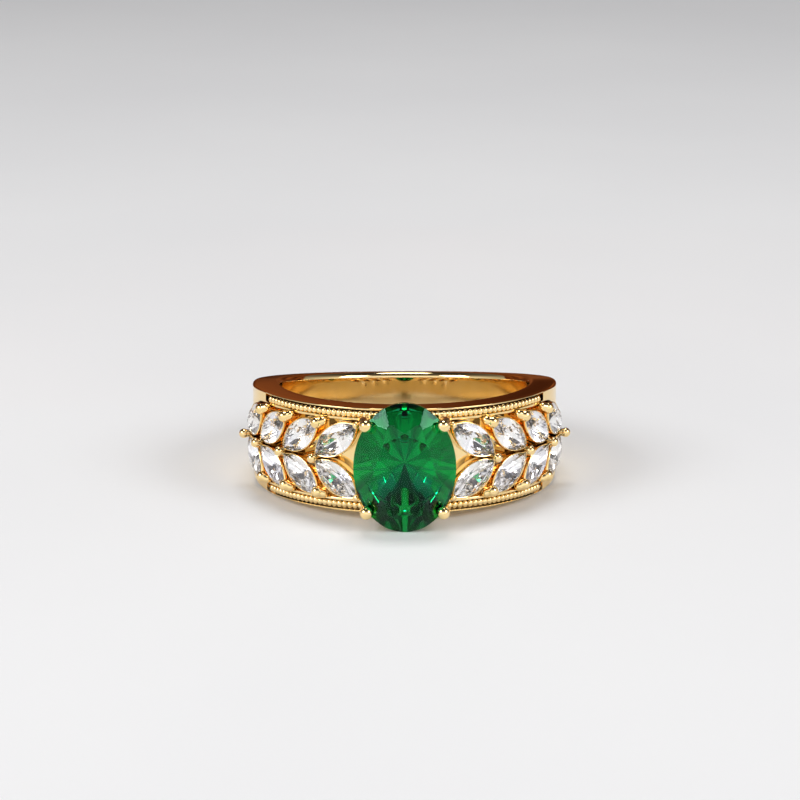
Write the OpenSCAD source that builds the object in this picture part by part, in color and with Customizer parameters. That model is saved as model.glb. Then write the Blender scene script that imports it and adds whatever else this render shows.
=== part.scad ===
// A wide dress ring: an openwork band set with marquise stones in chevrons, and
// an oval stone held by four claws at the front.
// The finger goes along Z, the origin is the centre of the bore, and the oval
// stone faces -Y. "Radius" always means the distance from the finger's axis.

/* [Band] */
// Inner diameter, the ring size
finger_d = 18.1; // [15:0.1:22]
// Thickness of the metal from the bore to the outer face
band_wall = 1.95; // [1.6:0.05:2.4]
// Height of each rail at the front, from the gallery to the band's edge
rail_h = 0.93; // [0.9:0.01:1.3]
// How much each edge has dropped at the sides, next to the front
side_drop = 0.2; // [0:0.05:0.24]
// Height of the band at the back
back_h = 3.5; // [2.5:0.1:6]

/* [Gallery] */
// Depth of the recess that holds the marquise stones
gallery_depth = 0.6; // [0.4:0.05:0.8]
// Gap between the seats and each rail
rail_gap = 0.03; // [0.01:0.01:0.2]
// Metal that the gallery runs on past the last claws
gallery_run = 0.9; // [0.6:0.1:1.4]

/* [Milgrain] */
// Diameter of one bead of the beaded wires
milgrain_d = 0.51; // [0.4:0.01:0.62]
// Distance from one bead to the next, less than the bead's diameter
milgrain_pitch = 0.4; // [0.36:0.01:0.6]
// How far the beads stand proud of the band
milgrain_proud = 0.15; // [0.05:0.01:0.2]
// Groove above each beaded wire
milgrain_groove = 0.09; // [0.05:0.01:0.12]
// Ledge between the gallery and each beaded wire
milgrain_ledge = 0.19; // [0.1:0.01:0.25]

/* [Marquise stones] */
// Number of chevrons on each side
chevrons = 4; // [2:1:4]
// Length of a stone
marquise_l = 3.8; // [3.1:0.1:4.6]
// Width of a stone
marquise_w = 1.9; // [1.5:0.1:2.3]
// Height of the crown, above the girdle
marquise_crown = 0.36; // [0.25:0.01:0.5]
// Depth of the pavilion, below the girdle
marquise_pavilion = 0.78; // [0.6:0.01:0.85]
// Lean of the stones from the band's run
lean = 36.5; // [32:0.5:42]
// Gap between one seat and the next along the band
seat_gap = 0.2; // [0.12:0.01:0.4]
// Gap between the upper and lower seats on the centre line
row_gap = 0.04; // [0.02:0.01:0.2]
// Gap between the centre claws' feet and the first small claws
first_gap = 0.45; // [0.2:0.05:1]
// Height of the stones' girdles above the band's outer face
girdle_lift = 0.3; // [0.2:0.05:0.5]
// Wall of the seat around each stone's girdle
seat_wall = 0.13; // [0.1:0.01:0.18]
// How much smaller the seat is at its foot, all round
seat_taper = 0.15; // [0.1:0.01:0.25]
// Rim that the window under each stone leaves
window_rim = 0.4; // [0.3:0.01:0.5]
// Metal left between a stone's outline and the open pockets beside it
pocket_rim = 0.06; // [0.04:0.01:0.1]

/* [Small claws] */
// Radius of the claws along the rails
rail_claw_r = 0.37; // [0.3:0.01:0.42]
// Radius of the first claw in each row, beside the centre stone
first_claw_r = 0.24; // [0.2:0.01:0.3]
// Radius of the beads on the centre line
vertex_claw_r = 0.34; // [0.25:0.01:0.36]
// How much higher the beads on the centre line stand than the claws along the rails
vertex_lift = 0.3; // [0.2:0.05:0.4]
// How far past a stone's tip its claw is centred
claw_past_tip = 0.08; // [0.02:0.01:0.14]
// Height over the girdle at which a bead leans on the stone's crown
claw_grip = 0.12; // [0.08:0.01:0.16]
// Depth of the holes that the claws' posts are set in
post_depth = 0.5; // [0.3:0.05:0.8]

/* [Centre stone] */
// Width across the finger
centre_w = 7; // [5.6:0.1:8.4]
// Length along the finger
centre_l = 9; // [7.6:0.1:10.8]
// Height of the crown
centre_crown = 1.1; // [0.8:0.05:1.4]
// Depth of the pavilion
centre_pavilion = 2.9; // [2.4:0.05:3.5]
// Space between the stone's point and the finger
culet_clear = 0.75; // [0.4:0.05:1.2]

/* [Head] */
// Where the claws hold the stone, as an angle from its width
claw_at = 42; // [36:1:50]
// Radius of the claws' stems
claw_r = 0.33; // [0.28:0.01:0.4]
// Radius of the claws' ball tips
ball_r = 0.45; // [0.35:0.01:0.5]
// How far the claws' feet stand inside the stone's edge
foot_inset = 0.42; // [0.3:0.01:0.6]
// Inset of the gallery rail from the stone's edge
head_inset = 0.12; // [0.1:0.01:0.3]
// Thickness of the gallery rail and of the base ring
head_wire = 0.42; // [0.35:0.01:0.5]
// Drop of the gallery rail below the girdle
head_drop = 0.6; // [0.5:0.05:0.8]
// Width of the oval hole through the band, under the stone
hole_w = 4.2; // [3.4:0.1:4.6]
// Length of that hole
hole_l = 5.2; // [4:0.1:5.6]

/* [Fit] */
// Clearance between a stone and the metal around it
stone_gap = 0.01; // [0.005:0.005:0.05]

/* [Hidden] */
$fn = 48;
girdle_t = 0.1;        // thickness of a stone's girdle
reach = 3;             // overshoot of a cut past the metal
seat_sink = 0.4;       // how far a seat is drawn below the floor before it is trimmed
post_share = 0.8;      // radius of a small claw's post, as a share of its bead's
knuckle = 1.06;        // thickness of a claw's bend, as a share of its stem's
rows = ["upper", "lower"];
sides = ["left", "right"];

// radii, from the finger outward
bore_r = finger_d / 2;
band_r = bore_r + band_wall;
floor_r = band_r - gallery_depth;
girdle_r = band_r + girdle_lift;
milgrain_r = band_r + milgrain_proud - milgrain_d / 2;
centre_girdle_r = bore_r + culet_clear + centre_pavilion + girdle_t / 2;

// marquise outline: two equal arcs of radius arc_r, with centres arc_in off its axis
arc_r = (pow(marquise_l, 2) + pow(marquise_w, 2)) / (4 * marquise_w);
arc_in = arc_r - marquise_w / 2;
tip_x = marquise_l / 2 * cos(lean);
tip_z = marquise_l / 2 * sin(lean);
reach_z = max(tip_z, arc_r - arc_in * cos(lean));

// heights, from the band's middle
row_z = reach_z + seat_wall + row_gap / 2;
gallery_z = row_z + reach_z + seat_wall + rail_gap;
front_z = gallery_z + rail_h;
side_z = front_z - side_drop;
milgrain_z = gallery_z + milgrain_ledge + milgrain_d / 2;
rail_claw_z = row_z + tip_z + claw_past_tip * sin(lean);

// lengths along the girdle, and the angles round the band that they turn
arcs_apart = 2 * (arc_r + seat_wall) + seat_gap;
chevron_pitch = sqrt(pow(arcs_apart, 2) - pow(2 * arc_in * cos(lean), 2)) - 2 * arc_in * sin(lean);
foot_x = (centre_w / 2 - foot_inset) * cos(claw_at);
first_claw_x = foot_x + claw_r + first_gap + first_claw_r;
first_stone_x = first_claw_x + claw_past_tip * cos(lean) + tip_x;
function turn(arc) = arc / girdle_r * 180 / PI;
function stone_turn(i) = turn(first_stone_x + (i - 1) * chevron_pitch);
function rail_claw_turn(i) = stone_turn(i) - turn(tip_x + claw_past_tip * cos(lean));
function vertex_turn(i) = stone_turn(i) + turn(tip_x + claw_past_tip / 2);
milgrain_end = rail_claw_turn(chevrons) - turn(rail_claw_r);
gallery_end = rail_claw_turn(chevrons) + turn(gallery_run);
gallery_tip = vertex_turn(chevrons) + turn(gallery_run);

function side_sign(side) = side == "left" ? -1 : 1;
function row_sign(row) = row == "upper" ? 1 : -1;

// ---- placing ----

// Turns a child that points along +Z to point outward, at an angle round the
// band and a height along the finger, with its own origin at the given radius.
module outward(angle, z, radius) {
    rotate([0, 0, angle]) translate([0, -radius, z]) rotate([90, 0, 0]) children();
}

// Puts a child drawn on a marquise stone's own axes where that stone is.
module at_marquise(row, side, i) {
    s = side_sign(side);
    r = row_sign(row);
    outward(s * stone_turn(i), r * row_z, girdle_r) rotate([0, 0, -s * r * lean]) children();
}

module each_marquise() {
    for (row = rows, side = sides, i = [1:chevrons]) at_marquise(row, side, i) children();
}

// ---- outlines ----

// Marquise column from height 0 up, its outline grown by one amount at its foot
// and another at its top.
module marquise_column(h, foot_grow, top_grow) {
    intersection_for(s = [-1, 1])
        translate([0, s * arc_in, 0])
            cylinder(r1 = arc_r + foot_grow, r2 = arc_r + top_grow, h = h, $fn = 96);
}

module oval_prism(w, l, h) {
    scale([1, l / w, 1]) cylinder(d = w, h = h, $fn = 180);
}

// ---- faceted stones ----

function oval_point(a) = [centre_w / 2 * cos(a), centre_l / 2 * sin(a)];
function marquise_point(a) = let (u = marquise_l / 2 * cos(a), side = sin(a) < -0.001 ? -1 : 1)
    [u, side * (sqrt(pow(arc_r, 2) - u * u) - arc_in)];
function ring_of(pts, size, z) = [for (p = pts) [p[0] * size, p[1] * size, z]];

// A brilliant cut with its girdle at z = 0 and its table up, from the points
// of its outline. Even points carry the table, odd ones the facets between.
module brilliant(pts, crown, pavilion, table) {
    even = [for (i = [0:2:len(pts) - 1]) pts[i]];
    odd = [for (i = [1:2:len(pts) - 1]) pts[i]];
    points = concat(
        ring_of(even, table, crown),
        ring_of(odd, (1 + table) / 2, crown * 0.62),
        ring_of(pts, 1, girdle_t / 2),
        ring_of(pts, 1, -girdle_t / 2),
        ring_of(odd, 0.32, -pavilion * 0.76),
        [[0, 0, -pavilion]]);
    hull() polyhedron(points, [[for (i = [0:len(points) - 1]) i]]);
}

module marquise_solid() {
    brilliant([for (k = [0:15]) marquise_point(k * 22.5)], marquise_crown, marquise_pavilion, 0.56);
}

module centre_solid() {
    outward(0, 0, centre_girdle_r)
        brilliant([for (k = [0:15]) oval_point(k * 22.5)], centre_crown, centre_pavilion, 0.6);
}

// A stone's shape with its clearance, for cutting the metal round it.
module marquise_pocket() {
    scale(1 + 2 * stone_gap / marquise_w) marquise_solid();
}

module centre_pocket() {
    grow = 1 + 2 * stone_gap / centre_w;
    translate([0, -centre_girdle_r * (1 - grow), 0]) scale(grow) centre_solid();
}

// ---- band ----

// Side view of the band: nearly level at the front, falling to the back.
module side_view() {
    ahead = band_r + 1;
    front = side_z + side_drop * ahead / band_r;
    back = side_z - (side_z - back_h / 2) * ahead / band_r;
    polygon([[-ahead, -front], [0, -side_z], [ahead, -back], [ahead, back], [0, side_z], [-ahead, front]]);
}

module hoop() {
    intersection() {
        difference() {
            cylinder(r = band_r, h = 4 * front_z, center = true, $fn = 180);
            cylinder(r = bore_r, h = 5 * front_z, center = true, $fn = 180);
        }
        rotate([90, 0, 90]) linear_extrude(height = 4 * band_r, center = true) side_view();
    }
}

// Everything outside the gallery's floor.
module above_floor() {
    difference() {
        cylinder(r = band_r + reach, h = 4 * front_z, center = true, $fn = 180);
        cylinder(r = floor_r, h = 5 * front_z, center = true, $fn = 180);
    }
}

// Side view of the gallery, which ends in a point on the centre line.
module gallery_view() {
    end_y = -band_r * cos(gallery_end);
    tip_y = -band_r * cos(gallery_tip);
    ahead = band_r + reach;
    polygon([[-ahead, -gallery_z], [end_y, -gallery_z], [tip_y, 0], [end_y, gallery_z], [-ahead, gallery_z]]);
}

module gallery_cut() {
    intersection() {
        above_floor();
        union() {
            rotate([90, 0, 90]) linear_extrude(height = 4 * band_r, center = true) gallery_view();
            for (row = rows, side = sides) at_marquise(row, side, chevrons) seat_prism();
            base_ring_prism();
        }
    }
}

module window_cuts() {
    depth = girdle_lift + band_wall + reach;
    each_marquise() translate([0, 0, -depth]) marquise_column(depth, -window_rim, -window_rim);
}

// Columns over two neighbouring stones, which the pockets between them leave standing.
module stone_columns(row, side, i) {
    depth = girdle_lift + band_wall + reach;
    for (k = [i, i + 1])
        at_marquise(row, side, k)
            translate([0, 0, -depth]) marquise_column(depth + reach, pocket_rim, pocket_rim);
}

// A block through the band, from one arc and height to another.
module pocket_block(side, arc, length, low, high) {
    outward(side_sign(side) * turn(arc + length / 2), (low + high) / 2, bore_r - reach)
        translate([-length / 2, -(high - low) / 2, 0]) cube([length, high - low, band_wall + 2 * reach]);
}

// An open pocket between two stones, the rail and the claw that holds the second stone.
module rail_pocket(row, side, i) {
    claw_x = first_stone_x + i * chevron_pitch - tip_x - claw_past_tip * cos(lean);
    end = claw_x - rail_claw_r * post_share - pocket_rim;
    low = row_z + reach_z / 2;
    high = gallery_z - pocket_rim;
    mid = row_sign(row) * (low + high) / 2;
    difference() {
        pocket_block(side, end - tip_x, tip_x, mid - (high - low) / 2, mid + (high - low) / 2);
        stone_columns(row, side, i);
    }
}

// An open pocket on the centre line, between a bead and the next chevron.
module vertex_pocket(side, i) {
    claw_x = first_stone_x + (i - 1) * chevron_pitch + tip_x + claw_past_tip / 2;
    start = claw_x + vertex_claw_r * post_share + pocket_rim;
    difference() {
        pocket_block(side, start, chevron_pitch / 2, -tip_z, tip_z);
        for (row = rows) stone_columns(row, side, i);
    }
}

module milgrain_channel(row) {
    top = milgrain_z + milgrain_d / 2 + milgrain_groove;
    bottom = milgrain_z - milgrain_d / 2;
    end = milgrain_end + turn(milgrain_d);
    inner = milgrain_r - milgrain_d / 2;
    scale([1, 1, row_sign(row)]) rotate([0, 0, -90 - end]) rotate_extrude(angle = 2 * end, $fn = 180)
        translate([inner, bottom]) square([reach, top - bottom]);
}

module band() {
    color("gold") difference() {
        hoop();
        gallery_cut();
        window_cuts();
        for (row = rows, side = sides, i = [1:chevrons - 1]) rail_pocket(row, side, i);
        for (side = sides, i = [1:chevrons - 1]) vertex_pocket(side, i);
        milgrain_channel("upper");
        milgrain_channel("lower");
        hole_prism();
        for (row = rows, side = sides, i = [1:chevrons]) rail_claw_blank(row, side, i);
        for (side = sides, i = [1:chevrons]) vertex_claw_blank(side, i);
        for (row = rows, side = sides) claw_stem(row, side);
    }
}

module milgrain(row) {
    count = floor(milgrain_end / turn(milgrain_pitch));
    color("gold") difference() {
        for (k = [-count:count])
            outward(k * turn(milgrain_pitch), row_sign(row) * milgrain_z, milgrain_r)
                rotate([0, 0, 90]) sphere(d = milgrain_d);
        for (side = sides) claw_stem(row, side);
        base_ring_prism();
    }
}

// ---- seats and small claws ----

// The seat's outer shape, from inside the gallery's floor to the girdle's top.
module seat_prism() {
    foot = -girdle_lift - gallery_depth;
    tall = girdle_t / 2 - foot;
    foot_grow = seat_wall - seat_taper - seat_sink * seat_taper / tall;
    translate([0, 0, foot - seat_sink]) marquise_column(tall + seat_sink, foot_grow, seat_wall);
}

module seat(row, side, i) {
    depth = girdle_lift + gallery_depth + 2 * seat_sink;
    color("goldenrod") difference() {
        at_marquise(row, side, i) difference() {
            seat_prism();
            marquise_pocket();
            translate([0, 0, -depth]) marquise_column(depth, -window_rim, -window_rim);
        }
        cylinder(r = floor_r, h = 4 * front_z, center = true, $fn = 180);
        rail_claw_blank(row, side, i);
        vertex_claw_blank(side, i);
        if (i == 1) claw_stem(row, side);
    }
}

// A round post from a blind hole in the gallery's floor up to the girdles.
module post(r, top = girdle_t) {
    foot = -girdle_lift - gallery_depth - post_depth;
    translate([0, 0, foot]) cylinder(r = r, h = top - foot);
}

function rail_claw_size(i) = i == 1 ? first_claw_r : rail_claw_r;

module at_rail_claw(row, side, i) {
    outward(side_sign(side) * rail_claw_turn(i), row_sign(row) * rail_claw_z, girdle_r) children();
}

module at_vertex(side, i) {
    outward(side_sign(side) * vertex_turn(i), 0, girdle_r) children();
}

// A small claw before it is cut to its stones: a post and the bead on it.
module rail_claw_blank(row, side, i) {
    r = rail_claw_size(i);
    at_rail_claw(row, side, i) {
        post(r * post_share);
        translate([0, 0, claw_grip + girdle_t / 2]) sphere(r = r);
    }
}

module vertex_claw_blank(side, i) {
    at_vertex(side, i) {
        bead_z = claw_grip + girdle_t + vertex_lift;
        post(vertex_claw_r * post_share, bead_z);
        translate([0, 0, bead_z]) sphere(r = vertex_claw_r);
    }
}

// The room that a marquise stone needs, up to where a bead closes over it.
module stone_bay() {
    clear = girdle_t / 2 + claw_grip;
    translate([0, 0, -girdle_t]) marquise_column(girdle_t + clear, stone_gap, stone_gap);
}

module rail_claws(row, side) {
    color("gold") for (i = [1:chevrons])
        difference() {
            rail_claw_blank(row, side, i);
            at_marquise(row, side, i) stone_bay();
        }
}

module vertex_claws(side) {
    color("gold") for (i = [1:chevrons])
        difference() {
            vertex_claw_blank(side, i);
            for (row = rows) at_marquise(row, side, i) stone_bay();
        }
}

// ---- head ----

// The oval hole under the stone, through the band.
module hole_prism() {
    outward(0, 0, bore_r - reach) oval_prism(hole_w, hole_l, band_wall + 2 * reach);
}

module base_ring_prism() {
    outward(0, 0, floor_r - reach)
        oval_prism(hole_w + 2 * head_wire, hole_l + 2 * head_wire, reach + gallery_depth + girdle_lift);
}

module head_base_ring() {
    color("gold") difference() {
        base_ring_prism();
        hole_prism();
        cylinder(r = floor_r, h = 4 * front_z, center = true, $fn = 180);
        centre_pocket();
    }
}

// The oval wire under the girdle, which the claws are notched for.
module rail_ring() {
    w = centre_w - 2 * head_inset;
    l = centre_l - 2 * head_inset;
    outward(0, 0, centre_girdle_r - head_drop - head_wire) difference() {
        oval_prism(w, l, head_wire);
        translate([0, 0, -1]) oval_prism(w - 2 * head_wire, l - 2 * head_wire, head_wire + 2);
    }
}

module head_gallery_rail() {
    color("gold") difference() {
        rail_ring();
        centre_pocket();
    }
}

// A claw's three stations, as [across, radius, along the finger] on the
// upper right: foot in the band, shoulder beside the girdle, ball tip.
function claw_point(grow, radius) =
    [(centre_w / 2 + grow) * cos(claw_at), -radius, (centre_l / 2 + grow) * sin(claw_at)];
claw_foot = claw_point(-foot_inset, floor_r - post_depth);
claw_shoulder = claw_point(claw_r, centre_girdle_r);
claw_tip = claw_point(0.05, centre_girdle_r + girdle_t / 2 + ball_r);

module rod(a, b, r) {
    v = b - a;
    translate(a) rotate([0, acos(v[2] / norm(v)), atan2(v[1], v[0])]) cylinder(r = r, h = norm(v));
}

// Mirrors a child drawn on the upper right to any of the four corners.
module corner(row, side) {
    mirror([side == "left" ? 1 : 0, 0, 0]) mirror([0, 0, row == "lower" ? 1 : 0]) children();
}

module claw_stem(row, side) {
    corner(row, side) rod(claw_foot, claw_shoulder, claw_r);
}

module claw(row, side) {
    color("gold") difference() {
        union() {
            claw_stem(row, side);
            corner(row, side) {
                translate(claw_shoulder) sphere(r = claw_r * knuckle);
                rod(claw_shoulder, claw_tip, claw_r * 0.9);
                translate(claw_tip) sphere(r = ball_r);
            }
        }
        centre_pocket();
        rail_ring();
    }
}

module centre_stone() {
    color("seagreen") centre_solid();
}

module marquise(row, side, i) {
    color("whitesmoke") at_marquise(row, side, i) marquise_solid();
}

band();
head_base_ring();
head_gallery_rail();
centre_stone();
for (r = rows) milgrain(r);
for (r = rows, s = sides) claw(r, s);
for (r = rows, s = sides) rail_claws(r, s);
for (s = sides) vertex_claws(s);
for (r = rows, s = sides, i = [1:chevrons])
    marquise(r, s, i);
for (r = rows, s = sides, i = [1:chevrons])
    seat(r, s, i);
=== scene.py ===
import math

import bmesh
import bpy
import numpy as np
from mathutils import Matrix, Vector


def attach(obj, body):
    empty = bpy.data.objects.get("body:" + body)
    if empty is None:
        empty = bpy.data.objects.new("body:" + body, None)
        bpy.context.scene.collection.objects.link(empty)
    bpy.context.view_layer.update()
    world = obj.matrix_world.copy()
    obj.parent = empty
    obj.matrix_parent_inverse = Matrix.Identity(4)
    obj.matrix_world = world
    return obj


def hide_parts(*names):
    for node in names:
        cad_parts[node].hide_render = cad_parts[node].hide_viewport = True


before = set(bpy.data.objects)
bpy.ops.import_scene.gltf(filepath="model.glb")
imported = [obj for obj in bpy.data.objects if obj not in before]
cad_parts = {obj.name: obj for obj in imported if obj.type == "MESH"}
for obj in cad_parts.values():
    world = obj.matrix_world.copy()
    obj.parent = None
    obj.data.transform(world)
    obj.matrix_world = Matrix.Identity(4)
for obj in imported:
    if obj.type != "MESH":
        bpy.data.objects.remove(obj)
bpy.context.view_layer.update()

# The frame is the CAD's: the finger goes along Z, the origin is the centre of
# the bore and the oval stone faces -Y. Sizes are in millimetres until a mesh
# is made. An "angle" is degrees round the finger, from the front.
MM = 0.001
SIDES = {"left": -1, "right": 1}
ROWS = {"upper": 1, "lower": -1}

# ---- sizes, as in the CAD ----
BORE_R = 9.05
BAND_R = 11.0
FLOOR_R = 10.4
GIRDLE_R = 11.3
SIDE_DROP = 0.2
BACK_Z = 1.75
RAIL_H = 0.93
RAIL_GAP = 0.03
GALLERY_RUN = 0.9
BEAD_D = 0.51
BEAD_PITCH = 0.4
BEAD_PROUD = 0.15
GROOVE = 0.09
LEDGE = 0.19
CHEVRONS = 4
STONE_L = 3.8
STONE_W = 1.9
STONE_CROWN = 0.36
STONE_PAVILION = 0.78
LEAN = 36.5
SEAT_GAP = 0.2
ROW_GAP = 0.04
FIRST_GAP = 0.45
SEAT_WALL = 0.13
SEAT_TAPER = 0.15
WINDOW_RIM = 0.4
RAIL_CLAW_R = 0.37
FIRST_CLAW_R = 0.24
VERTEX_CLAW_R = 0.34
VERTEX_LIFT = 0.3
PAST_TIP = 0.08
CLAW_GRIP = 0.12
CENTRE_W = 7.0
CENTRE_L = 9.0
CENTRE_CROWN = 1.1
CENTRE_PAVILION = 2.9
CULET_CLEAR = 0.75
GIRDLE_T = 0.1
CLAW_AT = 42.0
CLAW_R = 0.33
BALL_R = 0.45
FOOT_INSET = 0.42
HEAD_INSET = 0.12
HEAD_WIRE = 0.42
HEAD_DROP = 0.6
HOLE_W = 4.2
HOLE_L = 5.2
POST_DEPTH = 0.5
POST_SHARE = 0.8
POCKET_RIM = 0.06

# ---- sizes of this scene alone ----
TOOTH_HEIGHT = 1.1               # how much taller than round the beaded wires' teeth are
SEAT_DEPTH = 1.05                # how far the seats reach below the girdle
POST_REACH = 1.2                 # how far the small claws' posts reach below the girdle
LIP = 0.018                      # rounding of the edges of the beaded wires' channels
POCKET_END = 0.03                # half height at which a pocket on the centre line ends
BALL_OUT = 0.03                  # how far past the stone's edge the ball tips are centred

lean = math.radians(LEAN)
ARC_R = (STONE_L ** 2 + STONE_W ** 2) / (4 * STONE_W)
ARC_IN = ARC_R - STONE_W / 2
TIP_X = STONE_L / 2 * math.cos(lean)
TIP_Z = STONE_L / 2 * math.sin(lean)
REACH_Z = max(TIP_Z, ARC_R - ARC_IN * math.cos(lean))
ROW_Z = REACH_Z + SEAT_WALL + ROW_GAP / 2
GALLERY_Z = ROW_Z + REACH_Z + SEAT_WALL + RAIL_GAP
FRONT_Z = GALLERY_Z + RAIL_H
SIDE_Z = FRONT_Z - SIDE_DROP
BEAD_Z = GALLERY_Z + LEDGE + BEAD_D / 2
BEAD_R = BAND_R + BEAD_PROUD - BEAD_D / 2
CENTRE_R = BORE_R + CULET_CLEAR + CENTRE_PAVILION + GIRDLE_T / 2
RAIL_CLAW_Z = ROW_Z + TIP_Z + PAST_TIP * math.sin(lean)
PITCH = (math.sqrt((2 * (ARC_R + SEAT_WALL) + SEAT_GAP) ** 2 - (2 * ARC_IN * math.cos(lean)) ** 2)
         - 2 * ARC_IN * math.sin(lean))
FOOT_X = (CENTRE_W / 2 - FOOT_INSET) * math.cos(math.radians(CLAW_AT))
FIRST_CLAW_X = FOOT_X + CLAW_R + FIRST_GAP + FIRST_CLAW_R
FIRST_STONE_X = FIRST_CLAW_X + PAST_TIP * math.cos(lean) + TIP_X


def turn(arc):
    """Degrees round the finger that a length along the girdles turns."""
    return math.degrees(arc / GIRDLE_R)


def stone_turn(i):
    return turn(FIRST_STONE_X + (i - 1) * PITCH)


def rail_claw_turn(i):
    return stone_turn(i) - turn(TIP_X + PAST_TIP * math.cos(lean))


def vertex_turn(i):
    return stone_turn(i) + turn(TIP_X + PAST_TIP / 2)


BEADS_END = rail_claw_turn(CHEVRONS) - turn(RAIL_CLAW_R)
GALLERY_END = rail_claw_turn(CHEVRONS) + turn(GALLERY_RUN)
GALLERY_TIP = vertex_turn(CHEVRONS) + turn(GALLERY_RUN)


# ---- placing and meshes ----

def outward(points, angle, z, radius, spin=0.0):
    """Local points, with +Z pointing away from the finger, put at an angle, a height and a radius."""
    p = np.asarray(points, float).reshape(-1, 3)
    b, a = math.radians(spin), math.radians(angle)
    u = p[:, 0] * math.cos(b) - p[:, 1] * math.sin(b)
    v = p[:, 0] * math.sin(b) + p[:, 1] * math.cos(b)
    r = radius + p[:, 2]
    return np.c_[u * math.cos(a) + r * math.sin(a), u * math.sin(a) - r * math.cos(a), v + z]


def at_marquise(points, row, side, i):
    s, r = SIDES[side], ROWS[row]
    return outward(points, s * stone_turn(i), r * ROW_Z, GIRDLE_R, -s * r * LEAN)


def make_object(name, points, faces, smooth=40.0):
    mesh = bpy.data.meshes.new(name)
    mesh.from_pydata([tuple(p) for p in np.asarray(points, float) * MM], [], [tuple(f) for f in faces])
    bm = bmesh.new()
    bm.from_mesh(mesh)
    bmesh.ops.remove_doubles(bm, verts=bm.verts, dist=1e-6)
    bmesh.ops.dissolve_degenerate(bm, edges=bm.edges, dist=1e-6)
    bmesh.ops.recalc_face_normals(bm, faces=bm.faces)
    bm.to_mesh(mesh)
    bm.free()
    if smooth:
        mesh.shade_smooth()
        mesh.set_sharp_from_angle(angle=math.radians(smooth))
    else:
        mesh.shade_flat()
    obj = bpy.data.objects.new(name, mesh)
    bpy.context.scene.collection.objects.link(obj)
    return obj


def finish_piece(obj, material, slot, *nodes):
    obj.data.materials.clear()
    obj.data.materials.append(material)
    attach(obj, "root")
    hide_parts(*nodes)
    return obj


def ring_faces(rings, count, closed_rings=True, cap=False):
    """Quads between successive loops of count points each, with the ends capped if wanted."""
    faces = []
    steps = rings if closed_rings else rings - 1
    for i in range(steps):
        a, b = i * count, ((i + 1) % rings) * count
        for k in range(count):
            q = (k + 1) % count
            faces.append((a + k, a + q, b + q, b + k))
    if cap:
        faces.append(tuple(range(count - 1, -1, -1)))
        faces.append(tuple((rings - 1) * count + k for k in range(count)))
    return faces


def tube(path, radii, count=24):
    """A closed tube of round sections along a path, with its own radius at each point."""
    path = np.asarray(path, float)
    n = len(path)
    tangents = np.gradient(path, axis=0)
    tangents /= np.linalg.norm(tangents, axis=1)[:, None]
    side = np.cross(tangents[0], [0.31, 0.17, 0.93])
    points = []
    for i in range(n):
        side = side - tangents[i] * side.dot(tangents[i])
        side /= np.linalg.norm(side)
        other = np.cross(tangents[i], side)
        for k in range(count):
            a = 2 * math.pi * k / count
            points.append(path[i] + radii[i] * (math.cos(a) * side + math.sin(a) * other))
    return np.array(points), ring_faces(n, count, closed_rings=False, cap=True)


def merge(parts):
    points, faces, base = [], [], 0
    for p, f in parts:
        points.append(np.asarray(p, float))
        faces += [tuple(i + base for i in face) for face in f]
        base += len(p)
    return np.concatenate(points), faces


def bead_on_axis(start, end, ball, stem, count=28, rings=16):
    """A round stem from start to the ball centred at end, as one turned surface."""
    start, end = np.asarray(start, float), np.asarray(end, float)
    length = np.linalg.norm(end - start)
    direction = (end - start) / length
    neck = math.sqrt(max(ball ** 2 - stem ** 2, 0.0))
    fillet = 0.12 * ball
    stations = [(0.0, stem), (max(length - neck - 2.2 * fillet, 0.02), stem)]
    stations.append((length - neck - 0.7 * fillet, stem + 0.12 * (ball - stem)))
    first = math.acos(min(1.0, (neck * 0.93) / ball))
    for k in range(rings + 1):
        a = first + (math.pi - first) * k / rings
        stations.append((length - ball * math.cos(a), max(ball * math.sin(a), 0.004)))
    path = [start + direction * s for s, _ in stations]
    return tube(path, [r for _, r in stations], count)


# ---- materials ----

def new_material(name):
    mat = bpy.data.materials.new(name)
    mat.use_nodes = True
    nodes, links = mat.node_tree.nodes, mat.node_tree.links
    nodes.clear()
    out = nodes.new("ShaderNodeOutputMaterial")
    shader = nodes.new("ShaderNodeBsdfPrincipled")
    links.new(shader.outputs["BSDF"], out.inputs["Surface"])
    return mat, nodes, links, shader


def noise(nodes, links, coords, scale, detail=3.0, stretch=None):
    tex = nodes.new("ShaderNodeTexNoise")
    tex.inputs["Scale"].default_value = scale
    tex.inputs["Detail"].default_value = detail
    source = coords
    if stretch:
        mapping = nodes.new("ShaderNodeMapping")
        mapping.inputs["Scale"].default_value = stretch
        links.new(coords, mapping.inputs["Vector"])
        source = mapping.outputs["Vector"]
    links.new(source, tex.inputs["Vector"])
    return tex.outputs["Fac"]


def ramp(nodes, links, value, stops):
    node = nodes.new("ShaderNodeValToRGB")
    while len(node.color_ramp.elements) < len(stops):
        node.color_ramp.elements.new(0.5)
    for element, (at, colour) in zip(node.color_ramp.elements, stops):
        element.position = at
        element.color = (*colour, 1.0)
    links.new(value, node.inputs["Fac"])
    return node.outputs["Color"]


def to_range(nodes, links, value, low, high):
    node = nodes.new("ShaderNodeMapRange")
    node.inputs["To Min"].default_value = low
    node.inputs["To Max"].default_value = high
    links.new(value, node.inputs["Value"])
    return node.outputs["Result"]


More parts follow.
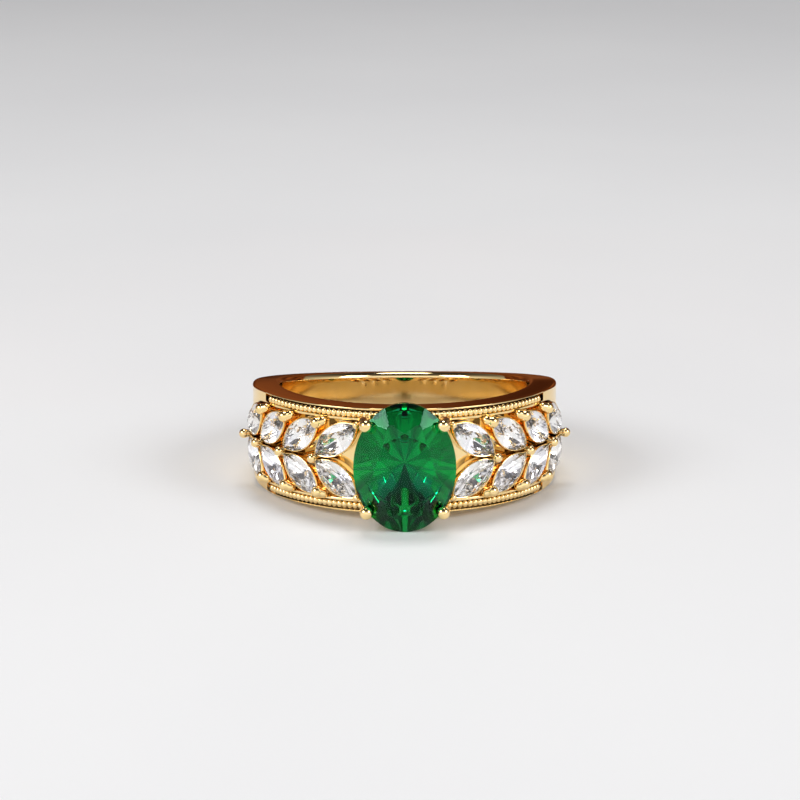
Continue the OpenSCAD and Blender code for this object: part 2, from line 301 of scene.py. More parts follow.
def gold_material(name, rough_low, rough_high, bump):
    """Polished gold plate: warm tone drifts, buffing marks, a faint ripple and painted shade darkening its
    crevices.
    """
    mat, nodes, links, shader = new_material(name)
    coords = nodes.new("ShaderNodeTexCoord").outputs["Object"]
    tone = noise(nodes, links, coords, 260.0, 2.0)
    polished = ramp(nodes, links, tone, [(0.35, (0.97, 0.71, 0.32)), (0.65, (1.0, 0.755, 0.38))])
    # Painted shade: where ambient occlusion finds crevices and recesses, the base colour is mixed towards
    # near black-brown, standing in for the shade that falls there.
    hidden = nodes.new("ShaderNodeAmbientOcclusion")
    hidden.samples = 4
    hidden.inputs["Distance"].default_value = 0.00032
    crevice_shade = nodes.new("ShaderNodeMix")
    crevice_shade.data_type = "RGBA"
    links.new(ramp(nodes, links, hidden.outputs["AO"], [(0.12, (0, 0, 0)), (0.62, (1, 1, 1))]),
              crevice_shade.inputs["Factor"])
    crevice_shade.inputs["A"].default_value = (0.14, 0.07, 0.022, 1.0)
    links.new(polished, crevice_shade.inputs["B"])
    links.new(crevice_shade.outputs["Result"], shader.inputs["Base Color"])
    shader.inputs["Metallic"].default_value = 1.0
    buffing = noise(nodes, links, coords, 2400.0, 4.0, (1.0, 1.0, 0.16))
    links.new(to_range(nodes, links, buffing, rough_low, rough_high), shader.inputs["Roughness"])
    ripple = noise(nodes, links, coords, 900.0, 2.0)
    node = nodes.new("ShaderNodeBump")
    node.inputs["Strength"].default_value = bump
    node.inputs["Distance"].default_value = 0.00002
    links.new(ripple, node.inputs["Height"])
    links.new(node.outputs["Normal"], shader.inputs["Normal"])
    return mat


def gem_material(name, ior, glint):
    """Clear cut stone with a faint polishing haze on its facets."""
    mat, nodes, links, shader = new_material(name)
    coords = nodes.new("ShaderNodeTexCoord").outputs["Object"]
    haze = noise(nodes, links, coords, 300.0, 2.0)
    links.new(to_range(nodes, links, haze, 0.0, 0.006), shader.inputs["Roughness"])
    shader.inputs["Base Color"].default_value = (1.0, 1.0, 1.0, 1.0)
    shader.inputs["Transmission Weight"].default_value = 1.0
    shader.inputs["IOR"].default_value = ior
    shader.inputs["Specular Tint"].default_value = (*glint, 1.0)
    return mat


def foil_material(name, stops, roughness):
    """The mirror-like back of a stone, seen through its crown, in tones that drift over its facets."""
    mat, nodes, links, shader = new_material(name)
    coords = nodes.new("ShaderNodeTexCoord").outputs["Object"]
    drift = noise(nodes, links, coords, 420.0, 1.0)
    links.new(ramp(nodes, links, drift, stops), shader.inputs["Base Color"])
    links.new(to_range(nodes, links, drift, roughness * 0.6, roughness * 1.4), shader.inputs["Roughness"])
    shader.inputs["Metallic"].default_value = 1.0
    return mat


def petal_material(name, ratio):
    """The green stone's back: eight bright petals round its point, with darker wedges between, a painted
    reflection pattern standing in for the light its facets send back.
    """
    mat, nodes, links, shader = new_material(name)
    coords = nodes.new("ShaderNodeTexCoord").outputs["Object"]
    parts = nodes.new("ShaderNodeSeparateXYZ")
    links.new(coords, parts.inputs[0])

    def maths(kind, *values):
        node = nodes.new("ShaderNodeMath")
        node.operation = kind
        for socket, value in zip(node.inputs, values):
            if isinstance(value, (int, float)):
                socket.default_value = value
            else:
                links.new(value, socket)
        return node.outputs[0]

    round_z = maths("MULTIPLY", parts.outputs["Z"], ratio)
    angle = maths("DIVIDE", maths("ARCTAN2", round_z, parts.outputs["X"]), math.pi / 4)
    fold = maths("ABSOLUTE", maths("SUBTRACT", maths("FRACT", maths("ADD", angle, 8.5)), 0.5))
    # Painted reflection and shade: bright green wedges alternate with darker green ones, standing in for the
    # bright and dark facet reflections of a cut stone.
    petals = ramp(nodes, links, fold, [(0.30, (0.0, 0.55, 0.20)), (0.36, (0.0, 0.33, 0.125))])
    tone = noise(nodes, links, coords, 260.0, 1.0)
    shade = nodes.new("ShaderNodeMix")
    shade.data_type = "RGBA"
    shade.blend_type = "MULTIPLY"
    shade.inputs["Factor"].default_value = 1.0
    links.new(petals, shade.inputs["A"])
    links.new(ramp(nodes, links, tone, [(0.3, (0.8, 0.8, 0.8)), (0.7, (1, 1, 1))]), shade.inputs["B"])
    links.new(shade.outputs["Result"], shader.inputs["Base Color"])
    shader.inputs["Metallic"].default_value = 1.0
    shader.inputs["Roughness"].default_value = 0.02
    return mat


def back_with(obj, material, angle, radius):
    """Gives the faces of a stone below its girdle their own material."""
    obj.data.materials.append(material)
    a = math.radians(angle)
    out_x, out_y = math.sin(a), -math.cos(a)
    level = (radius - GIRDLE_T / 2 - 0.002) * MM
    for face in obj.data.polygons:
        if face.center.x * out_x + face.center.y * out_y < level:
            face.material_index = 1


gold = gold_material("polished_gold", 0.035, 0.11, 0.10)
green_glass = gem_material("green_gem", 1.52, (0.30, 0.62, 0.48))
green_back = petal_material("green_pavilion", CENTRE_W / CENTRE_L)
clear_glass = gem_material("clear_gem", 1.6, (1.0, 1.0, 1.0))
clear_back = foil_material("clear_pavilion", [(0.36, (0.92, 0.91, 0.96)), (0.5, (1.0, 1.0, 1.0)),
                                              (0.64, (0.98, 0.95, 0.92))], 0.07)


# ---- band ----

def smooth_step(x, a, b):
    t = min(1.0, max(0.0, (x - a) / (b - a)))
    return t * t * (3 - 2 * t)


def top_height(y):
    """Height of the band's upper edge at a place along Y: nearly level ahead, falling behind."""
    blend = 1.0
    ramp_y = (y + math.sqrt(y * y + blend * blend)) / 2
    ahead = SIDE_DROP / BAND_R
    behind = (SIDE_Z - BACK_Z) / BAND_R
    return SIDE_Z - ahead * y - (behind - ahead) * ramp_y


def gallery_height(angle):
    """Half height of the gallery at an angle: full, then in round the last stones to a point."""
    if angle <= GALLERY_END:
        line = GALLERY_Z
    else:
        line = GALLERY_Z * (GALLERY_TIP - angle) / (GALLERY_TIP - GALLERY_END)
    arc = math.radians(angle) * GIRDLE_R
    stone_arc = math.radians(stone_turn(CHEVRONS)) * GIRDLE_R
    cx = stone_arc - ARC_IN * math.sin(lean)
    cz = ROW_Z - ARC_IN * math.cos(lean)
    reach = ARC_R + SEAT_WALL + 0.04
    inside = reach ** 2 - (arc - cx) ** 2
    tip_arc = stone_arc + TIP_X + 0.1
    if inside > 0 and arc < tip_arc:
        line = max(line, cz + math.sqrt(inside))
    return max(0.0, min(GALLERY_Z, line))


def band_section(angle):
    """The band's section at an angle (0 to 180), as (radius, height) points of a closed loop."""
    c = math.cos(math.radians(angle))

    def top(radius):
        return top_height(-radius * c)

    # the edges are rounder toward the back
    inner = 0.30 + 0.20 * smooth_step(angle, 60, 150)
    outer = 0.05 + 0.27 * smooth_step(angle, BEADS_END + 2, 95)
    half = [(BORE_R, 0.0), (BORE_R, 0.45 * (top(BORE_R) - inner)), (BORE_R, 0.85 * (top(BORE_R) - inner))]
    for k in range(9):
        a = math.pi / 2 * k / 8
        radius = BORE_R + inner * (1 - math.cos(a))
        half.append((radius, top(radius) - inner * (1 - math.sin(a))))
    start, end = BORE_R + inner, BAND_R - outer
    for t in (0.33, 0.67):
        radius = start + (end - start) * t
        half.append((radius, top(radius)))
    for k in range(7):
        a = math.pi / 2 * k / 6
        radius = end + outer * math.sin(a)
        half.append((radius, top(radius) - outer * (1 - math.cos(a))))
    edge = top(BAND_R) - outer
    beads_on = angle <= BEADS_END + turn(BEAD_D)
    groove_top, groove_low = BEAD_Z + BEAD_D / 2 + GROOVE, BEAD_Z - BEAD_D / 2
    floor = BEAD_R - BEAD_D / 2 if beads_on else BAND_R
    squeeze = 1.0 if beads_on else min(1.0, (edge - 0.03) / groove_top)
    for radius, z in ((BAND_R, groove_top + LIP), (BAND_R - LIP, groove_top), (floor, groove_top),
                      (floor, groove_low), (BAND_R - LIP, groove_low), (BAND_R, groove_low - LIP)):
        if not beads_on:
            radius = BAND_R
        half.append((radius, z * squeeze))
    wall = gallery_height(angle)
    ceiling = (groove_low - LIP) * squeeze
    base = FLOOR_R if wall > 0.02 else BAND_R
    soft = 0.07 if wall > 0.02 else 0.0
    wall = min(wall, ceiling - soft - 0.01)
    for k in range(5):
        a = math.pi / 2 * k / 4
        half.append((BAND_R - soft * (1 - math.cos(a)), wall + soft * (1 - math.sin(a))))
    for k in range(4):
        a = math.pi / 2 * k / 3
        fillet = 0.08 if wall > 0.1 else 0.0
        half.append((base + fillet * (1 - math.sin(a)), wall - fillet * (1 - math.cos(a))))
    half.append((base, wall * 0.5))
    half.append((base, 0.0))
    return half + [(r, -z) for r, z in half[-2:0:-1]]


def band_angles():
    marks = set(np.arange(0, 90, 0.75)) | set(np.arange(90, 180.1, 1.25))
    end = BEADS_END + turn(BEAD_D)
    marks |= {end - 0.06, end + 0.02, GALLERY_END, GALLERY_TIP - 0.3, GALLERY_TIP - 0.05, GALLERY_TIP + 0.05}
    front = sorted(a for a in marks if 0 <= a <= 180)
    return [-a for a in reversed(front) if 0 < a < 180] + front


def lens_outline(count=40, grow=0.0):
    """Marquise outline with sharp tips, each flank grown by the same amount."""
    r = ARC_R + grow
    half_angle = math.acos(ARC_IN / r)
    points = []
    for s in (1, -1):
        for k in range(count // 2):
            a = half_angle * (1 - 2 * k / (count // 2))
            points.append((s * r * math.sin(a), s * (r * math.cos(a) - ARC_IN)))
    return points


def prism(outline, low, high, low_scale=1.0, high_scale=1.0):
    n = len(outline)
    points = [(x * low_scale, y * low_scale, low) for x, y in outline]
    points += [(x * high_scale, y * high_scale, high) for x, y in outline]
    return points, ring_faces(2, n, closed_rings=False, cap=True)


def oval(w, l, count=72):
    return [(w / 2 * math.cos(2 * math.pi * k / count), l / 2 * math.sin(2 * math.pi * k / count))
            for k in range(count)]


def subtract(obj, parts):
    """Cuts closed bodies, given as (points, faces), out of an object."""
    points, faces = merge(parts)
    cutter = make_object("cutter", points, faces, smooth=0)
    mod = obj.modifiers.new("cut", "BOOLEAN")
    mod.operation = "DIFFERENCE"
    mod.solver = "EXACT"
    mod.use_self = True
    mod.object = cutter
    deps = bpy.context.evaluated_depsgraph_get()
    mesh = bpy.data.meshes.new_from_object(obj.evaluated_get(deps))
    obj.modifiers.clear()
    old, obj.data = obj.data, mesh
    bpy.data.meshes.remove(old)
    spare = cutter.data
    bpy.data.objects.remove(cutter)
    bpy.data.meshes.remove(spare)


def pocket_outline(i, kind):
    """Outline of an open pocket after the i-th stone, as (arc, height) points of the upper right:
    the one by the rail, or the upper half of the one on the centre line."""
    reach = ARC_R + POCKET_RIM
    stone_x = FIRST_STONE_X + (i - 1) * PITCH
    out_x, out_z = stone_x - ARC_IN * math.sin(lean), ROW_Z - ARC_IN * math.cos(lean)
    in_x, in_z = stone_x + PITCH + ARC_IN * math.sin(lean), ROW_Z + ARC_IN * math.cos(lean)
    if kind == "rail":
        end = stone_x + PITCH - TIP_X - PAST_TIP * math.cos(lean) - RAIL_CLAW_R * POST_SHARE - POCKET_RIM
        low, high = ROW_Z + REACH_Z / 2, GALLERY_Z - POCKET_RIM
        start = out_x + math.sqrt(max(reach ** 2 - (high - out_z) ** 2, 0.0))
        xs = np.linspace(start, end, 12)
        flank = [(x, max(low, out_z + math.sqrt(max(reach ** 2 - (x - out_x) ** 2, 0.0)))) for x in xs]
        return [(start, high)] + flank[1:] + [(end, high)]
    start = stone_x + TIP_X + PAST_TIP / 2 + VERTEX_CLAW_R * POST_SHARE + POCKET_RIM
    rise = in_z - POCKET_END
    last = in_x - math.sqrt(reach ** 2 - rise ** 2) if reach > rise else in_x
    xs = np.linspace(start, min(last, start + PITCH / 2), 14)
    return [(x, min(TIP_Z, in_z - math.sqrt(max(reach ** 2 - (in_x - x) ** 2, 0.0)))) for x in xs]


def pocket_cutter(i, kind, side, row):
    outline = pocket_outline(i, kind)
    if kind == "vertex":
        outline = outline + [(x, -z) for x, z in reversed(outline) if z > 0.001]
    points = []
    for radius in (BORE_R - 1.0, GIRDLE_R + 0.4):
        for x, z in outline:
            a = math.radians(turn(x)) * SIDES[side]
            points.append((radius * math.sin(a), -radius * math.cos(a), ROWS[row] * z))
    return points, ring_faces(2, len(outline), closed_rings=False, cap=True)


def make_band():
    angles = band_angles()
    points = []
    for angle in angles:
        a = math.radians(angle)
        section = band_section(abs(angle))
        points += [(r * math.sin(a), -r * math.cos(a), z) for r, z in section]
    count = len(band_section(0.0))
    band = make_object("ring_band", points, ring_faces(len(angles), count))
    cuts = []
    window = lens_outline(40, -WINDOW_RIM)
    for row in ROWS:
        for side in SIDES:
            for i in range(1, CHEVRONS + 1):
                p, f = prism(window, -4.0, 1.0, 0.97, 1.03)
                cuts.append((at_marquise(p, row, side, i), f))
    for i in range(1, CHEVRONS):
        for side in SIDES:
            cuts += [pocket_cutter(i, "rail", side, row) for row in ROWS]
            cuts.append(pocket_cutter(i, "vertex", side, "upper"))
    p, f = prism(oval(HOLE_W, HOLE_L), -2.0, 3.0)
    cuts.append((outward(p, 0, 0, BORE_R), f))
    subtract(band, cuts)
    band.data.shade_smooth()
    band.data.set_sharp_from_angle(angle=math.radians(35))
    return band


band = make_band()
finish_piece(band, gold, "gold_plate", "band")


# ---- beaded wires ----

def make_beads(row):
    count = int(BEADS_END / turn(BEAD_PITCH))
    pitch_turn = turn(BEAD_PITCH)
    steps = 8
    points, rings = [], (2 * count + 1) * steps
    for n in range(rings + 1):
        t = (n % steps) / steps - 0.5
        swell = math.sqrt((BEAD_D / 2) ** 2 - (t * BEAD_PITCH) ** 2)
        angle = math.radians((n / steps - 0.5 - count) * pitch_turn)
        for k in range(14):
            b = 2 * math.pi * k / 14
            radius = BEAD_R + swell * math.cos(b)
            points.append((radius * math.sin(angle), -radius * math.cos(angle),
                           ROWS[row] * (BEAD_Z + TOOTH_HEIGHT * swell * math.sin(b))))
    return make_object(row + "_beads", points, ring_faces(rings + 1, 14, closed_rings=False, cap=True), 50)


for row in ROWS:
    finish_piece(make_beads(row), gold, "gold_plate", row + "_milgrain")


# ---- faceted stones ----

def lens_point(a):
    """Point of the marquise outline, its outward normal and its distance along that normal."""
    u = STONE_L / 2 * math.cos(a)
    side = -1 if math.sin(a) < -1e-6 else 1
    if abs(math.sin(a)) < 1e-6:
        return (math.copysign(1, u), 0.0), STONE_L / 2
    normal = (u / ARC_R, side * math.sqrt(1 - (u / ARC_R) ** 2))
    return normal, ARC_R - ARC_IN * abs(normal[1])


def circle_point(a):
    return (math.cos(a), math.sin(a)), 1.0


# (angle from a main facet, share of the outline where the facet starts, share it loses by the top)
CROWN_CUTS = [(0.0, 1.0, 0.41), (22.5, 1.239, 0.694), (11.25, 0.988, 0.349), (-11.25, 0.988, 0.349)]
PAVILION_CUTS = [(0.0, 1.0, 1.0), (11.25, 0.988, 0.966), (-11.25, 0.988, 0.966)]


def cut_stone(name, outline, along, crown, pavilion, size):
    """A brilliant cut: a column of the outline, cut by the planes of its facets."""
    mesh = bpy.data.meshes.new(name)
    p, f = prism(outline, -pavilion, crown)
    bm = bmesh.new()
    verts = [bm.verts.new(q) for q in p]
    for face in f:
        bm.faces.new([verts[i] for i in face])
    g = GIRDLE_T / 2
    for cuts, height, sign in ((CROWN_CUTS, crown, 1), (PAVILION_CUTS, pavilion, -1)):
        for k in range(8):
            for offset, start, loss in cuts:
                n, h = along(math.radians(45 * k + offset))
                normal = Vector((n[0], n[1], sign * h * loss / (height - g)))
                point = Vector((n[0] * h * start, n[1] * h * start, sign * g))
                geom = bm.verts[:] + bm.edges[:] + bm.faces[:]
                cut = bmesh.ops.bisect_plane(bm, geom=geom, plane_co=point, plane_no=normal,
                                             dist=1e-6, clear_outer=True)
                edges = [e for e in cut["geom_cut"] if isinstance(e, bmesh.types.BMEdge)]
                if len(edges) >= 3:
                    bmesh.ops.contextual_create(bm, geom=edges)
    bmesh.ops.remove_doubles(bm, verts=bm.verts, dist=1e-4)
    bmesh.ops.recalc_face_normals(bm, faces=bm.faces)
    points = [(v.co.x * size[0], v.co.y * size[1], v.co.z) for v in bm.verts]
    bm.verts.index_update()
    faces = [tuple(v.index for v in face.verts) for face in bm.faces]
    bm.free()
    bpy.data.meshes.remove(mesh)
    return points, faces


marquise_points, marquise_faces = cut_stone("marquise", lens_outline(72), lens_point,
                                            STONE_CROWN, STONE_PAVILION, (1, 1))
for row in ROWS:
    for side in SIDES:
        for i in range(1, CHEVRONS + 1):
            node = "marquise_%s_%s_%d" % (row, side, i)
            obj = make_object("cut_" + node, at_marquise(marquise_points, row, side, i), marquise_faces, 0)
            finish_piece(obj, clear_glass, "clear_stone", node)
            back_with(obj, clear_back, SIDES[side] * stone_turn(i), GIRDLE_R)

unit = [(math.cos(2 * math.pi * k / 96), math.sin(2 * math.pi * k / 96)) for k in range(96)]
p, f = cut_stone("oval", unit, circle_point, CENTRE_CROWN, CENTRE_PAVILION, (CENTRE_W / 2, CENTRE_L / 2))
centre = make_object("cut_centre_stone", outward(p, 0, 0, CENTRE_R), f, 0)
finish_piece(centre, green_glass, "green_stone", "centre_stone")
back_with(centre, green_back, 0, CENTRE_R)


# ---- seats ----

def lens_loop(count=44):
    """Points of the marquise outline with their outward normals, and a fan of normals at each tip."""
    reach = math.asin(STONE_L / 2 / ARC_R)
    loop = []
    for s in (1, -1):
        for k in range(count // 2 + 1):
            a = reach * (1 - 2 * k / (count // 2))
            loop.append(((s * ARC_R * math.sin(a), s * (ARC_R * math.cos(a) - ARC_IN)),
                         (s * math.sin(a), s * math.cos(a))))
        for k in range(1, 5):
            b = -math.pi / 2 - (math.pi / 2 - reach) * (1 - 2 * k / 5)
            loop.append(((-s * STONE_L / 2, 0.0), (s * math.sin(b), s * -math.cos(b))))
    return loop


# The seat's section: (grown by, shrunk to, height over the girdle).
SEAT_SECTION = [
    (SEAT_WALL - SEAT_TAPER, 1.0, -SEAT_DEPTH), (SEAT_WALL - 0.5 * SEAT_TAPER, 1.0, -0.45),
    (SEAT_WALL - 0.02, 1.0, -0.06),
    (SEAT_WALL - 0.045, 1.0, 0.02), (SEAT_WALL - 0.06, 1.0, 0.05), (0.04, 1.0, 0.062),
    (0.012, 1.0, 0.05), (0.004, 1.0, 0.025), (0.004, 0.995, -0.06), (0.0, 0.80, -0.24),
    (0.0, 0.66, -0.52), (0.0, 0.60, -SEAT_DEPTH)]


def make_seat(row, side, i):
    loop = lens_loop()
    points = []
    for grow, shrink, height in SEAT_SECTION:
        points += [(x * shrink + nx * grow, y * shrink + ny * grow, height) for (x, y), (nx, ny) in loop]
    faces = ring_faces(len(SEAT_SECTION), len(loop))
    return make_object("seat_wall_%s_%s_%d" % (row, side, i), at_marquise(points, row, side, i), faces, 45)


for row in ROWS:
    for side in SIDES:
        for i in range(1, CHEVRONS + 1):
            seat = make_seat(row, side, i)
            finish_piece(seat, gold, "gold_plate", "seat_%s_%s_%d" % (row, side, i))


# ---- small claws ----

def rail_claw(row, side, i):
    """A claw by a rail: a lump on a post that leans over the stone's tip, or for the first a plain bead."""
    s, r = SIDES[side], ROWS[row]
    size = FIRST_CLAW_R if i == 1 else RAIL_CLAW_R
    angle, z = s * rail_claw_turn(i), r * RAIL_CLAW_Z
    post = outward([(0, 0, -POST_REACH), (0, 0, CLAW_GRIP + 0.05)], angle, z, GIRDLE_R)
    parts = [bead_on_axis(post[0], post[1], size * 1.08, size * POST_SHARE)]
    if i > 1:
        back = np.array((-s * 0.32, r * 0.03, -0.12))
        front = np.array((s * 0.05, -r * 0.10, CLAW_GRIP))
        rear_r, ball_r = size * 0.86, size * 1.12
        length = np.linalg.norm(front - back)
        along = (front - back) / length
        path, radii = [], []
        for k in range(33):
            share = (1 - math.cos(math.pi * k / 32)) / 2
            x = -rear_r * 0.999 + (length + rear_r + ball_r - 0.001) * share
            waist = rear_r + (ball_r * 0.86 - rear_r) * x / length if 0 <= x <= length else 0
            rear_ball = math.sqrt(max(rear_r ** 2 - x * x, 0))
            front_ball = math.sqrt(max(ball_r ** 2 - (x - length) ** 2, 0))
            radii.append(max(waist, rear_ball, front_ball, 0.01))
            path.append(back + along * x)
        parts = [tube(outward(path, angle, z, GIRDLE_R), radii, 24)]
        parts.append(bead_on_axis(post[0], outward([(0, 0, -0.1)], angle, z, GIRDLE_R)[0],
                                  size * 0.84, size * POST_SHARE))
    return parts


def vertex_claw(side, i):
    s = SIDES[side]
    bead_z = CLAW_GRIP + GIRDLE_T + VERTEX_LIFT
    post = outward([(0, 0, -POST_REACH), (0, 0, bead_z)], s * vertex_turn(i), 0, GIRDLE_R)
    return bead_on_axis(post[0], post[1], VERTEX_CLAW_R, VERTEX_CLAW_R * 0.78)


for side in SIDES:
    for row in ROWS:
        p, f = merge([part for i in range(1, CHEVRONS + 1) for part in rail_claw(row, side, i)])
        obj = make_object("rail_claw_set_%s_%s" % (row, side), p, f, 60)
        finish_piece(obj, gold, "gold_plate", "rail_claws_%s_%s" % (row, side))
    p, f = merge([vertex_claw(side, i) for i in range(1, CHEVRONS + 1)])
    obj = make_object("vertex_claw_set_" + side, p, f, 60)
    finish_piece(obj, gold, "gold_plate", "vertex_claws_" + side)


# ---- head ----

def claw_point(grow, radius, side, row):
    a = math.radians(CLAW_AT)
    return np.array([SIDES[side] * (CENTRE_W / 2 + grow) * math.cos(a), -radius,
                     ROWS[row] * (CENTRE_L / 2 + grow) * math.sin(a)])


def make_claw(row, side):
    foot = claw_point(-FOOT_INSET, FLOOR_R - POST_DEPTH, side, row)
    shoulder = claw_point(CLAW_R, CENTRE_R, side, row)
    tip = claw_point(BALL_OUT, CENTRE_R + GIRDLE_T / 2 + BALL_R, side, row)
    bend = 0.45
    into = shoulder + (foot - shoulder) / np.linalg.norm(foot - shoulder) * bend
    path, radii = [foot, foot + (into - foot) * 0.5, into], [CLAW_R] * 3
    out = tip + (shoulder - tip) * 0.62
    for k in range(1, 9):
        t = k / 8
        path.append((1 - t) ** 2 * into + 2 * t * (1 - t) * shoulder + t * t * out)
        radii.append(CLAW_R * (1 - 0.14 * t))
    direction = (tip - out) / np.linalg.norm(tip - out)
    stem = radii[-1]
    neck = math.sqrt(BALL_R ** 2 - stem ** 2)
    first = math.acos(neck / BALL_R)
    for k in range(19):
        a = first + (math.pi - first) * k / 18
        path.append(tip - direction * BALL_R * math.cos(a))
        radii.append(max(BALL_R * math.sin(a), 0.004))
    # the ball starts at the twelfth point: points of the bend that come too near it are dropped
    start = 11
    while (path[start] - path[start - 1]).dot(direction) < 0.004:
        del path[start - 1], radii[start - 1]
        start -= 1
    p, f = tube(path, radii, 32)
    return make_object("ball_claw_%s_%s" % (row, side), p, f, 60)


for row in ROWS:
    for side in SIDES:
        finish_piece(make_claw(row, side), gold, "gold_plate", "claw_%s_%s" % (row, side))


def oval_ring(name, w, l, section, radius):
    """A closed section of (inset, height) points, swept round an oval."""
    points = []
    count = 96
    for inset, height in section:
        points += [(x, y, height) for x, y in oval(w - 2 * inset, l - 2 * inset, count)]
    return make_object(name, outward(points, 0, 0, radius), ring_faces(len(section), count), 40)


def rounded(width, low, high, r=0.12):
    """A rounded upright rectangle as (inset, height) points."""
    pts = []
    corners = ((r, high - r, 180), (width - r, high - r, 90), (width - r, low + r, 0), (r, low + r, -90))
    for cx, cz, a0 in corners:
        for k in range(6):
            a = math.radians(a0 - 90 * k / 5)
            pts.append((cx + r * math.cos(a), cz + r * math.sin(a)))
    return pts


rail = oval_ring("head_rail", CENTRE_W - 2 * HEAD_INSET, CENTRE_L - 2 * HEAD_INSET,
                 rounded(HEAD_WIRE, -HEAD_DROP - HEAD_WIRE, -HEAD_DROP, 0.18), CENTRE_R)
finish_piece(rail, gold, "gold_plate", "head_gallery_rail")
collar = oval_ring("head_collar", HOLE_W + 2 * HEAD_WIRE, HOLE_L + 2 * HEAD_WIRE,
                   rounded(HEAD_WIRE, -1.35, 0.0, 0.12), GIRDLE_R)
finish_piece(collar, gold, "gold_plate", "head_base_ring")


# ---- stage ----

FLOOR_SLOPE = 1.0 / 12.75        # the floor's rise along +Y, from the stone to the band
FLOOR_Z = -3.5


def floor_material():
    mat, nodes, links, shader = new_material("floor_paper")
    coords = nodes.new("ShaderNodeTexCoord").outputs["Object"]
    cloud = noise(nodes, links, coords, 14.0, 4.0)
    links.new(ramp(nodes, links, cloud, [(0.3, (0.80, 0.80, 0.805)), (0.7, (0.84, 0.84, 0.84))]),
              shader.inputs["Base Color"])
    shader.inputs["Roughness"].default_value = 0.65
    shader.inputs["Specular IOR Level"].default_value = 0.2
    grain = noise(nodes, links, coords, 2600.0, 3.0)
    node = nodes.new("ShaderNodeBump")
    node.inputs["Strength"].default_value = 0.15
    node.inputs["Distance"].default_value = 0.00003
    links.new(grain, node.inputs["Height"])
    links.new(node.outputs["Normal"], shader.inputs["Normal"])
    return mat


def make_floor():
    half = 1500.0
    n = 24
    spots = [half * math.copysign(abs(2 * k / n - 1) ** 2, 2 * k / n - 1) for k in range(n + 1)]
    points = [(x, y, FLOOR_Z + FLOOR_SLOPE * y) for y in spots for x in spots]
    faces = [(j * (n + 1) + i, j * (n + 1) + i + 1, (j + 1) * (n + 1) + i + 1, (j + 1) * (n + 1) + i)
             for j in range(n) for i in range(n)]
    obj = make_object("floor", points, faces, 60)
    obj.data.materials.append(floor_material())


make_floor()


BROWN_LOW, BROWN_HIGH = (0.035, 0.008, 0.003), (0.26, 0.08, 0.026)


def on_floor(x, y, lift=0.6):
    """A point a little above the floor."""
    return (x, y, FLOOR_Z + FLOOR_SLOPE * y + lift)


def make_card(name, corners, faces):
    """A brown card that is seen only in reflections."""
    mat = bpy.data.materials.new(name)
    mat.use_nodes = True
    nodes, links = mat.node_tree.nodes, mat.node_tree.links
    nodes.clear()
    out = nodes.new("ShaderNodeOutputMaterial")
    glow = nodes.new("ShaderNodeEmission")
    coords = nodes.new("ShaderNodeTexCoord").outputs["Object"]
    folds = noise(nodes, links, coords, 22.0, 1.0)
    links.new(ramp(nodes, links, folds, [(0.35, BROWN_LOW), (0.65, BROWN_HIGH)]), glow.inputs["Color"])
    glow.inputs["Strength"].default_value = 1.0
    links.new(glow.outputs["Emission"], out.inputs["Surface"])
    obj = make_object(name, corners, faces, 0)
    obj.data.materials.append(mat)
    obj.visible_camera = False
    obj.visible_shadow = False
    obj.visible_diffuse = False


make_card("back_card", [on_floor(-190, 78), on_floor(190, 78), (190, 125, 95), (-190, 125, 95)],
          [(0, 1, 2, 3)])
make_card("cloth_card", [on_floor(-190, -5), on_floor(-20, 18), on_floor(0, 36), on_floor(20, 18),
                         on_floor(190, -5), on_floor(190, 80), on_floor(0, 80), on_floor(-190, 80)],
          [(0, 1, 6, 7), (1, 2, 6), (2, 3, 6), (3, 4, 5, 6)])


def area_light(name, place, size, power):
    """A soft box that faces the ring."""
    data = bpy.data.lights.new(name, "AREA")
    data.shape = "RECTANGLE"
    data.size, data.size_y = size[0] * MM, size[1] * MM
    data.energy = power
    obj = bpy.data.objects.new(name, data)
    obj.location = Vector(place) * MM
    obj.rotation_euler = (Vector(place) * -MM).to_track_quat("-Z", "Y").to_euler()
    bpy.context.scene.collection.objects.link(obj)


def direction(azimuth, elevation, distance):
    """A place round the ring: degrees from the front, degrees up, and how far."""
    a, e = math.radians(azimuth), math.radians(elevation)
    level = distance * math.cos(e)
    return (level * math.sin(a), -level * math.cos(a), distance * math.sin(e))


area_light("left_box", direction(-58, 33, 320), (130, 130), 0.42)
area_light("right_box", direction(58, 33, 320), (130, 130), 0.36)
area_light("top_box", (0, 60, 420), (170, 120), 0.70)

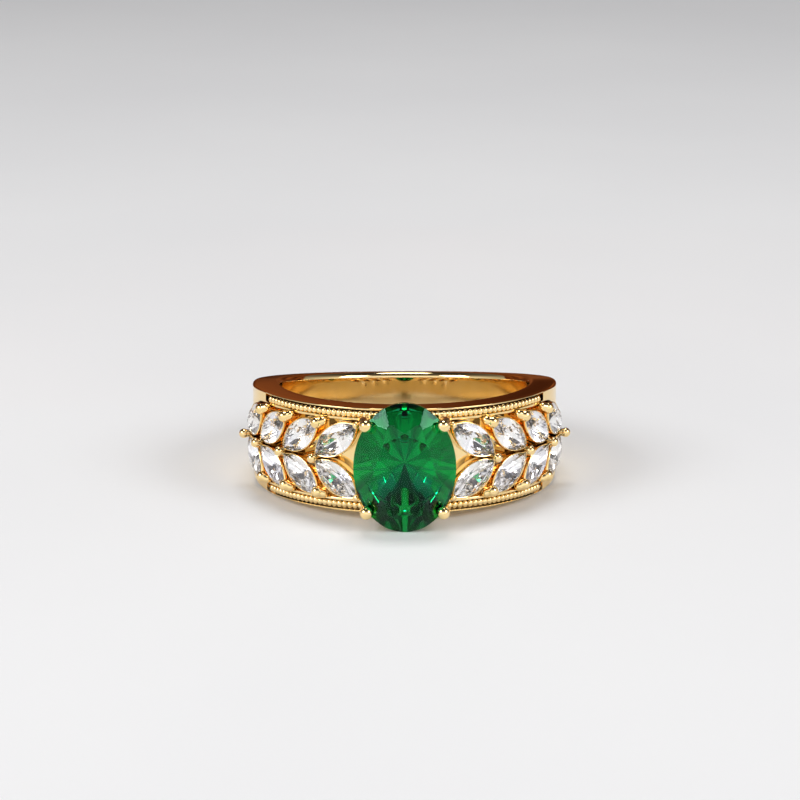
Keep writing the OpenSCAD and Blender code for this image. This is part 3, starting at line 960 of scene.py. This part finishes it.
world = bpy.data.worlds.new("studio")
bpy.context.scene.world = world
world.use_nodes = True
wn, wl = world.node_tree.nodes, world.node_tree.links
wn.clear()
w_out = wn.new("ShaderNodeOutputWorld")
w_back = wn.new("ShaderNodeBackground")
w_coord = wn.new("ShaderNodeTexCoord")
w_split = wn.new("ShaderNodeSeparateXYZ")
wl.new(w_coord.outputs["Generated"], w_split.inputs["Vector"])
# brighter ahead of the ring than behind and above it
w_level = ramp(wn, wl, w_split.outputs["Z"], [(0.0, (0.95, 0.95, 0.96)), (0.35, (0.90, 0.90, 0.92)),
                                             (0.6, (0.35, 0.34, 0.35)), (0.85, (0.06, 0.055, 0.06))])
w_front = wn.new("ShaderNodeMapRange")
w_front.inputs["From Min"].default_value = -1.0
w_front.inputs["From Max"].default_value = 0.5
w_front.inputs["To Min"].default_value = 1.35
w_front.inputs["To Max"].default_value = 0.34
wl.new(w_split.outputs["Y"], w_front.inputs["Value"])
wl.new(w_level, w_back.inputs["Color"])
wl.new(w_front.outputs["Result"], w_back.inputs["Strength"])
wl.new(w_back.outputs["Background"], w_out.inputs["Surface"])

# ---- camera ----

ELEVATION = math.radians(13.2)
DISTANCE = 180.0
view_up = Vector((0, math.sin(ELEVATION), math.cos(ELEVATION)))
cam_data = bpy.data.cameras.new("camera")
cam_data.lens = 111.15
cam_data.sensor_width = 36.0
cam_data.clip_start = 0.01
cam_data.clip_end = 10.0
cam = bpy.data.objects.new("camera", cam_data)
eye = Vector((0, -math.cos(ELEVATION), math.sin(ELEVATION))) * DISTANCE
aim = Vector((-0.33, 0, 0)) + view_up * 1.83
cam.location = eye * MM
turned = (aim - eye).to_track_quat("-Z", "Y").to_matrix()
cam.rotation_euler = turned.to_euler()
cam.rotation_euler.rotate_axis("Z", math.radians(-0.2))
bpy.context.scene.collection.objects.link(cam)
bpy.context.scene.camera = cam

scene = bpy.context.scene
scene.view_settings.view_transform = "Standard"
scene.cycles.max_bounces = 24
scene.cycles.transmission_bounces = 20
scene.cycles.glossy_bounces = 8
scene.cycles.transparent_max_bounces = 8
scene.cycles.sample_clamp_indirect = 6.0
